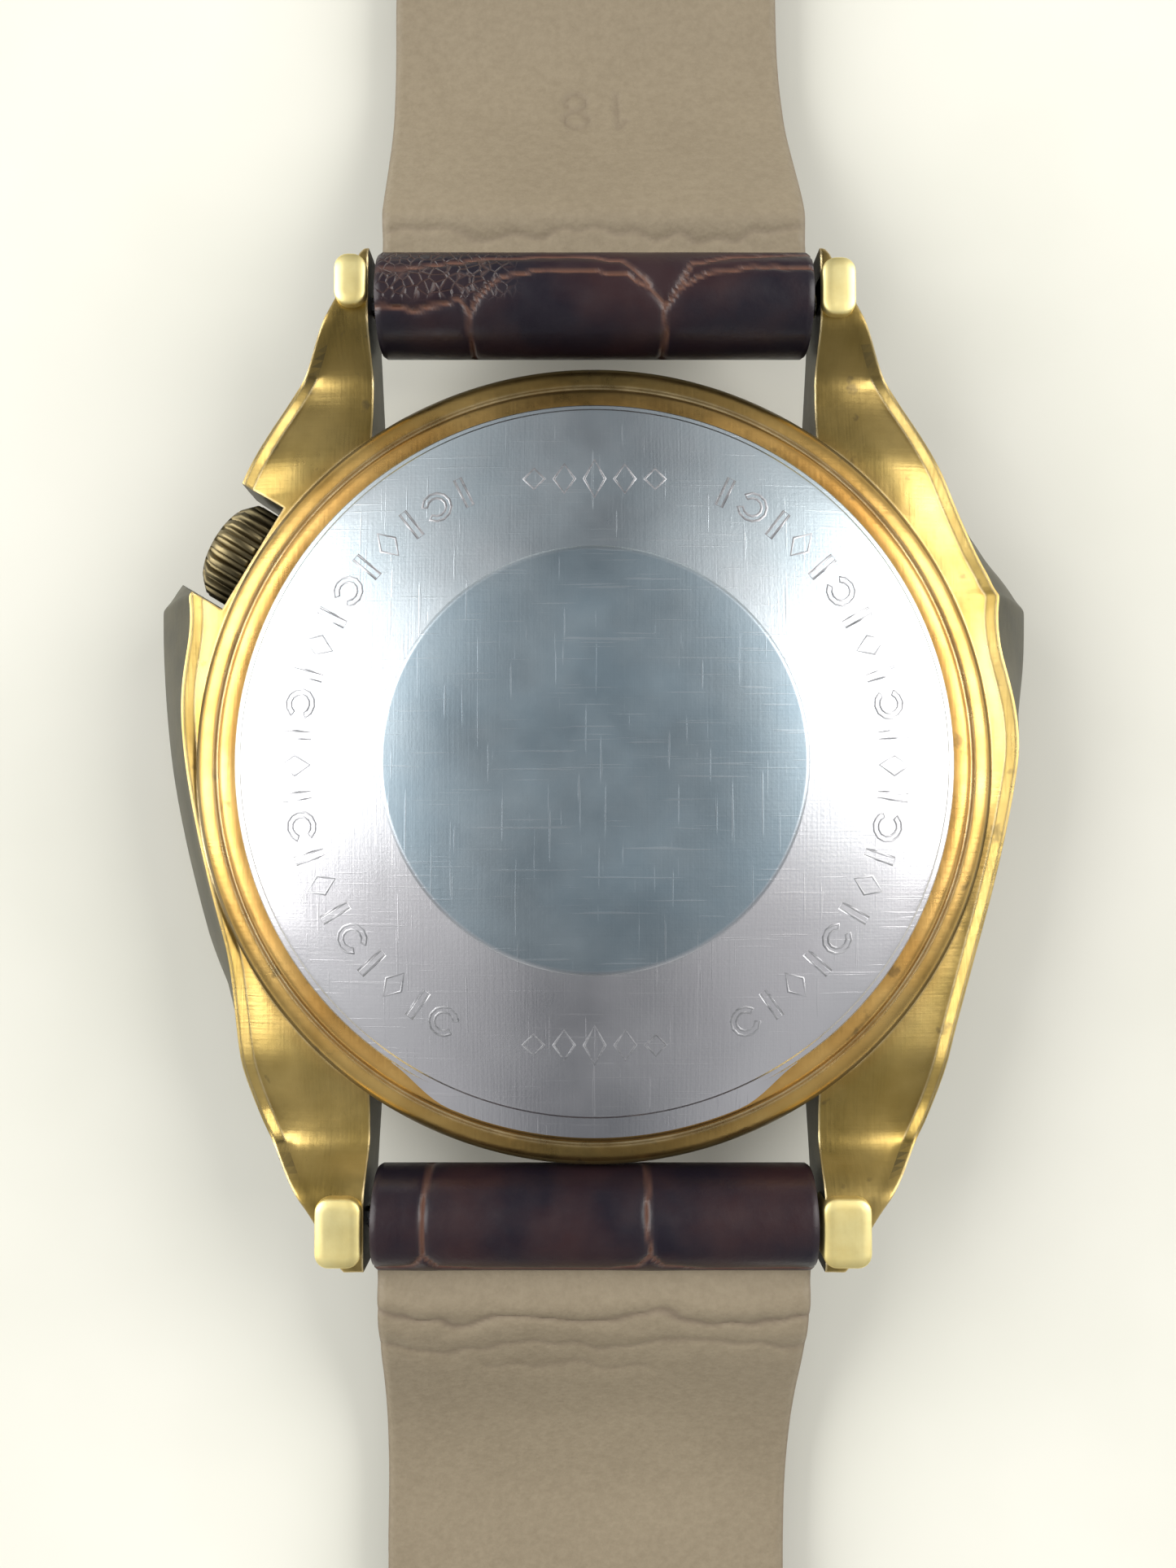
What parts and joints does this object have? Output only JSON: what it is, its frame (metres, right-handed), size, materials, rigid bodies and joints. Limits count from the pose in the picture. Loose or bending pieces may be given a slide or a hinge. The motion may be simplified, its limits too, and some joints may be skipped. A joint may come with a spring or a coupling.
{
  "type": "wristwatch",
  "caption": "Gold-plated round automatic wristwatch with a steel snap case back and a leather pin-buckle strap, laid open face down.",
  "frame": {"origin": "centre of the crystal's flat outer face, on the surface the watch lies on", "axes": "+Z out of the case back, +Y towards 12 o'clock, +X towards 9 o'clock"},
  "size_m": [0.0376, 0.2376, 0.0105],
  "materials": {
    "gold_case": "polished, worn gold plate",
    "steel_back": "satin, scratched",
    "steel": "polished",
    "brass": "satin",
    "plated": "grained nickel plate",
    "gold_fittings": "polished gold plate",
    "crystal": "clear",
    "dial": "sunray champagne",
    "rubber": "matt",
    "plastic": "matt",
    "leather": "semi-gloss crocodile grain",
    "lining": "matt smooth"
  },
  "bodies": {
    "case": {"case_middle": "gold_case", "bezel": "gold_case", "crystal": "crystal", "crystal_gasket": "rubber", "dial_surround": "gold_case", "dial": "dial", "movement_holder": "plastic", "case_back": "steel_back", "case_back_gasket": "rubber", "crown_tube": "steel", "main_plate": "plated", "barrel_bridge": "plated", "train_bridge": "plated", "balance_cock": "plated", "pallet_cock": "plated", "rotor_post": "steel", "rotor_screw": "steel", "casing_screw_1": "steel", "casing_screw_2": "steel", "spring_bar_12": "steel", "spring_bar_6": "steel"},
    "winding_pinion": {"winding_pinion": "steel"},
    "crown": {"crown": "gold_case", "winding_stem": "steel", "crown_gasket": "rubber"},
    "clutch": {"sliding_clutch": "steel"},
    "setting_lever": {"setting_lever": "steel"},
    "crown_wheel": {"crown_wheel": "steel"},
    "ratchet": {"ratchet_wheel": "steel", "barrel_arbor": "steel"},
    "barrel": {"barrel_drum": "brass", "mainspring": "steel"},
    "centre_wheel": {"centre_wheel": "brass"},
    "third_wheel": {"third_wheel": "brass"},
    "fourth_wheel": {"fourth_wheel": "brass", "seconds_hand": "gold_fittings"},
    "escape_wheel": {"escape_wheel": "steel"},
    "pallet_fork": {"pallet_fork": "steel"},
    "balance": {"balance_wheel": "brass", "hairspring": "steel"},
    "minute": {"cannon_pinion": "steel", "minute_hand": "gold_fittings"},
    "minute_wheel": {"minute_wheel": "brass"},
    "hour": {"hour_wheel": "brass", "hour_hand": "gold_fittings"},
    "rotor": {"rotor": "brass"},
    "tip_12_right": {"spring_bar_12_tip_right": "steel"},
    "tip_12_left": {"spring_bar_12_tip_left": "steel"},
    "tip_6_right": {"spring_bar_6_tip_right": "steel"},
    "tip_6_left": {"spring_bar_6_tip_left": "steel"},
    "strap_short": {"strap_short_leather": "leather", "strap_short_lining": "lining", "fixed_keeper": "leather", "buckle_bar": "steel"},
    "free_keeper": {"free_keeper": "leather"},
    "buckle": {"buckle_frame": "gold_fittings"},
    "tongue": {"buckle_tongue": "gold_fittings"},
    "strap_long": {"strap_long_leather": "leather", "strap_long_lining": "lining"}
  },
  "joints": [
    {"name": "crown_turn", "type": "hinge", "parent": "case", "child": "winding_pinion", "pos_m": [0, 0, 0.0045], "axis": [-0.8572, 0.515, 0], "continuous": true},
    {"name": "crown_pull", "type": "slide", "parent": "winding_pinion", "child": "crown", "axis": [-0.8572, 0.515, 0], "range_m": [0, 0.0007]},
    {"name": "clutch_slide", "type": "slide", "parent": "winding_pinion", "child": "clutch", "axis": [-0.8572, 0.515, 0], "range_m": [-0.00035, 0]},
    {"name": "setting_lever_swing", "type": "hinge", "parent": "case", "child": "setting_lever", "pos_m": [-0.00904, 0.00777, 0.0035], "axis": [0, 0, 1], "range_deg": [-22, 0]},
    {"name": "crown_wheel_turn", "type": "hinge", "parent": "case", "child": "crown_wheel", "pos_m": [-0.00593, 0.00356, 0.0056], "axis": [0, 0, 1], "continuous": true},
    {"name": "ratchet_turn", "type": "hinge", "parent": "case", "child": "ratchet", "pos_m": [0.00009, 0.0054, 0.0056], "axis": [0, 0, 1], "continuous": true},
    {"name": "barrel_turn", "type": "hinge", "parent": "case", "child": "barrel", "pos_m": [0.00009, 0.0054, 0.0064], "axis": [0, 0, 1], "continuous": true},
    {"name": "centre_turn", "type": "hinge", "parent": "case", "child": "centre_wheel", "pos_m": [0, 0, 0.0052], "axis": [0, 0, 1], "continuous": true},
    {"name": "third_turn", "type": "hinge", "parent": "case", "child": "third_wheel", "pos_m": [0.00216, -0.00374, 0.006], "axis": [0, 0, 1], "continuous": true},
    {"name": "seconds_turn", "type": "hinge", "parent": "case", "child": "fourth_wheel", "pos_m": [0, 0, 0.006], "axis": [0, 0, 1], "continuous": true},
    {"name": "escape_turn", "type": "hinge", "parent": "case", "child": "escape_wheel", "pos_m": [-0.00301, -0.00301, 0.006], "axis": [0, 0, 1], "continuous": true},
    {"name": "pallet_rock", "type": "hinge", "parent": "case", "child": "pallet_fork", "pos_m": [-0.00502, -0.00464, 0.0056], "axis": [0, 0, 1], "range_deg": [-5, 5]},
    {"name": "balance_swing", "type": "hinge", "parent": "case", "child": "balance", "pos_m": [-0.00639, -0.00575, 0.006], "axis": [0, 0, 1], "range_deg": [-270, 270], "stiffness_Nm_per_rad": 0.00000025},
    {"name": "minute_turn", "type": "hinge", "parent": "case", "child": "minute", "pos_m": [0, 0, 0.003], "axis": [0, 0, 1], "continuous": true},
    {"name": "minute_wheel_turn", "type": "hinge", "parent": "case", "child": "minute_wheel", "pos_m": [0.0018, 0.00312, 0.0036], "axis": [0, 0, 1], "continuous": true},
    {"name": "hour_turn", "type": "hinge", "parent": "case", "child": "hour", "pos_m": [0, 0, 0.003], "axis": [0, 0, 1], "continuous": true},
    {"name": "rotor_turn", "type": "hinge", "parent": "case", "child": "rotor", "pos_m": [0, 0, 0.0084], "axis": [0, 0, 1], "continuous": true},
    {"name": "strap_short_fold", "type": "hinge", "parent": "case", "child": "strap_short", "pos_m": [0, 0.0188, 0.0065], "axis": [1, 0, 0], "range_deg": [-10, 85]},
    {"name": "strap_long_fold", "type": "hinge", "parent": "case", "child": "strap_long", "pos_m": [0, -0.0182, 0.0065], "axis": [-1, 0, 0], "range_deg": [-10, 85]},
    {"name": "free_keeper_slide", "type": "slide", "parent": "strap_short", "child": "free_keeper", "axis": [0, 1, 0], "range_m": [-0.012, 0.002]},
    {"name": "buckle_swing", "type": "hinge", "parent": "strap_short", "child": "buckle", "pos_m": [0, 0.0934, 0.00265], "axis": [1, 0, 0], "range_deg": [-3, 60]},
    {"name": "tongue_swing", "type": "hinge", "parent": "buckle", "child": "tongue", "pos_m": [0, 0.0934, 0.00265], "axis": [1, 0, 0], "range_deg": [0, 65]},
    {"name": "tip_12_right_press", "type": "slide", "parent": "case", "child": "tip_12_right", "axis": [-1, 0, 0], "range_m": [0, 0.0009], "stiffness_N_per_m": 400, "springref_m": -0.0008},
    {"name": "tip_12_left_press", "type": "slide", "parent": "case", "child": "tip_12_left", "axis": [1, 0, 0], "range_m": [0, 0.0009], "stiffness_N_per_m": 400, "springref_m": -0.0008},
    {"name": "tip_6_right_press", "type": "slide", "parent": "case", "child": "tip_6_right", "axis": [-1, 0, 0], "range_m": [0, 0.0009], "stiffness_N_per_m": 400, "springref_m": -0.0008},
    {"name": "tip_6_left_press", "type": "slide", "parent": "case", "child": "tip_6_left", "axis": [1, 0, 0], "range_m": [0, 0.0009], "stiffness_N_per_m": 400, "springref_m": -0.0008}
  ],
  "couplings": [
    {"joint": "crown_wheel_turn", "follows": "crown_turn", "ratio": -0.33333},
    {"joint": "ratchet_turn", "follows": "crown_turn", "ratio": 0.25},
    {"joint": "clutch_slide", "follows": "crown_pull", "ratio": -0.5},
    {"joint": "setting_lever_swing", "follows": "crown_pull", "rad_per_m": -502.59},
    {"joint": "third_turn", "follows": "seconds_turn", "ratio": -0.13333},
    {"joint": "centre_turn", "follows": "seconds_turn", "ratio": 0.016667},
    {"joint": "barrel_turn", "follows": "seconds_turn", "ratio": -0.0020833},
    {"joint": "escape_turn", "follows": "seconds_turn", "ratio": -10},
    {"joint": "minute_wheel_turn", "follows": "minute_turn", "ratio": -0.33333},
    {"joint": "hour_turn", "follows": "minute_turn", "ratio": 0.083333}
  ]
}
